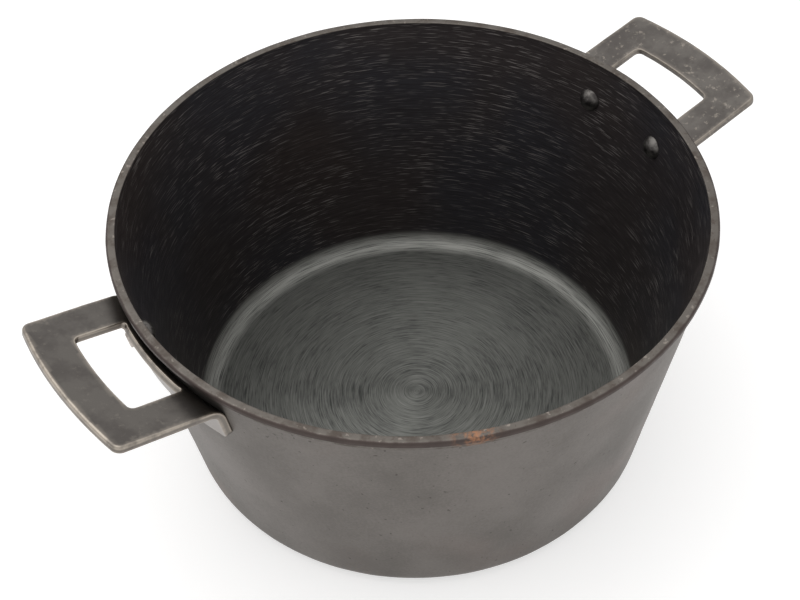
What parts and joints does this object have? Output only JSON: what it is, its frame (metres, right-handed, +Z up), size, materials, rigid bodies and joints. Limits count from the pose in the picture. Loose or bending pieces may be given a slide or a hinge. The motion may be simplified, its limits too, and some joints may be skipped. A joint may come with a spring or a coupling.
{
  "type": "roasting pot",
  "caption": "Open tapering cast iron pot, turned inside, with a ground rim and a riveted plate handle on each side, each with a finger window.",
  "frame": {"origin": "centre of the flat underside, on the axis that the pot is turned about", "axes": "+Z up along the turning axis, +X toward the middle of the right handle, -X toward the middle of the left handle"},
  "size_m": [0.3268, 0.25, 0.1252],
  "materials": {
    "cast_body": "seasoned, fine cast skin outside and turned rings inside",
    "handle_iron": "satin, edges worn bright",
    "rivet_iron": "smooth, blackened"
  },
  "bodies": {
    "root": {"pot_body": "cast_body", "handle_left": "handle_iron", "handle_right": "handle_iron", "rivet_left_front": "rivet_iron", "rivet_left_back": "rivet_iron", "rivet_right_front": "rivet_iron", "rivet_right_back": "rivet_iron"}
  },
  "joints": []
}
